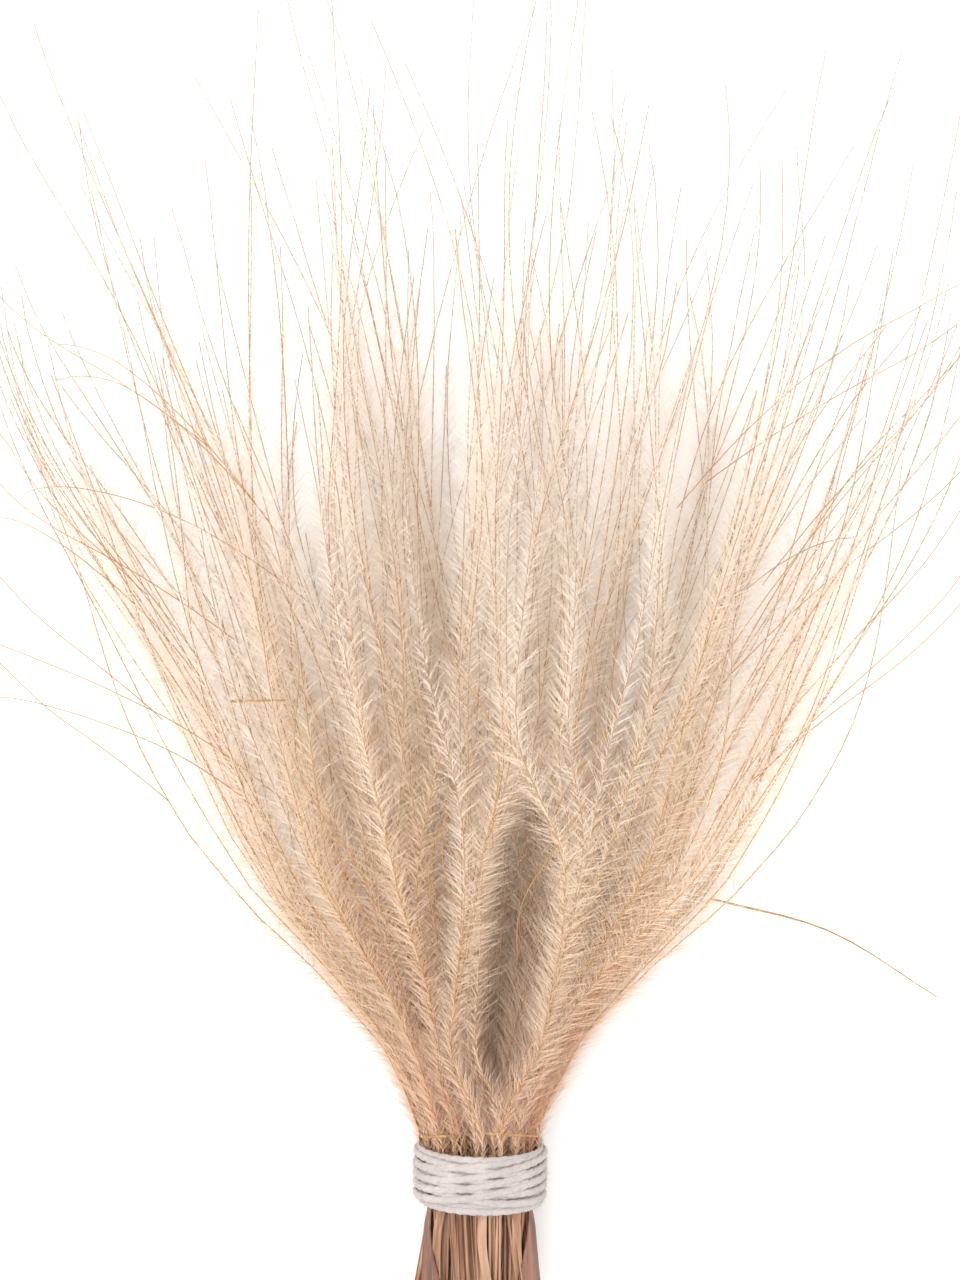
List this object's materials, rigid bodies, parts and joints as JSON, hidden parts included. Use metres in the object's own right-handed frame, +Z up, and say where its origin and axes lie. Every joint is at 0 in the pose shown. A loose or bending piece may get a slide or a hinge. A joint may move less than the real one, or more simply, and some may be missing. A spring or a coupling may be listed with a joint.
{
  "type": "bundle of dried feather grass",
  "caption": "Tied bundle of dried feather grass lying on its side: soft feathery awns fan out from a band of white cotton yarn round cut straw stems.",
  "frame": {"origin": "on the surface the bundle lies on, below the middle of its bounding box", "axes": "+Y along the bundle from the cut ends to the plume tips, +Z up from the surface, +X to the right seen from above"},
  "size_m": [0.1424, 0.2202, 0.0633],
  "materials": {
    "dried_awn": "soft matt, silky hairs on golden shafts",
    "brown_sheath": "dry, fibrous, slightly glossy",
    "cotton_yarn": "matt twisted cotton",
    "golden_straw": "dry, slightly glossy straw"
  },
  "bodies": {
    "root": {"plume_stem_01": "dried_awn", "plume_stem_02": "dried_awn", "plume_stem_03": "dried_awn", "plume_stem_04": "dried_awn", "plume_stem_05": "dried_awn", "plume_stem_06": "dried_awn", "plume_stem_07": "dried_awn", "plume_stem_08": "dried_awn", "plume_stem_09": "dried_awn", "plume_stem_10": "dried_awn", "plume_stem_11": "dried_awn", "plume_stem_12": "dried_awn", "plume_stem_13": "dried_awn", "plume_stem_14": "dried_awn", "plume_stem_15": "dried_awn", "plume_stem_16": "dried_awn", "plume_stem_17": "dried_awn", "plume_stem_18": "dried_awn", "plume_stem_19": "dried_awn", "plume_stem_20": "dried_awn", "plume_stem_21": "dried_awn", "plume_stem_22": "dried_awn", "plume_stem_23": "dried_awn", "plume_stem_24": "dried_awn", "plume_stem_25": "dried_awn", "plume_stem_26": "dried_awn", "plume_stem_27": "dried_awn", "plume_stem_28": "dried_awn", "plume_stem_29": "dried_awn", "plume_stem_30": "dried_awn", "plume_stem_31": "dried_awn", "plume_stem_32": "dried_awn", "plume_stem_33": "dried_awn", "plume_stem_34": "dried_awn", "plume_stem_35": "dried_awn", "plume_stem_36": "dried_awn", "plume_stem_37": "dried_awn", "tie_yarn": "cotton_yarn", "leaf_sheath_1": "brown_sheath", "leaf_sheath_2": "brown_sheath", "leaf_sheath_3": "brown_sheath", "leaf_sheath_4": "brown_sheath", "leaf_sheath_5": "brown_sheath", "leaf_sheath_6": "brown_sheath", "stray_awn": "golden_straw", "straw_bit_1": "golden_straw", "straw_bit_2": "golden_straw", "straw_bit_3": "golden_straw"}
  },
  "joints": []
}
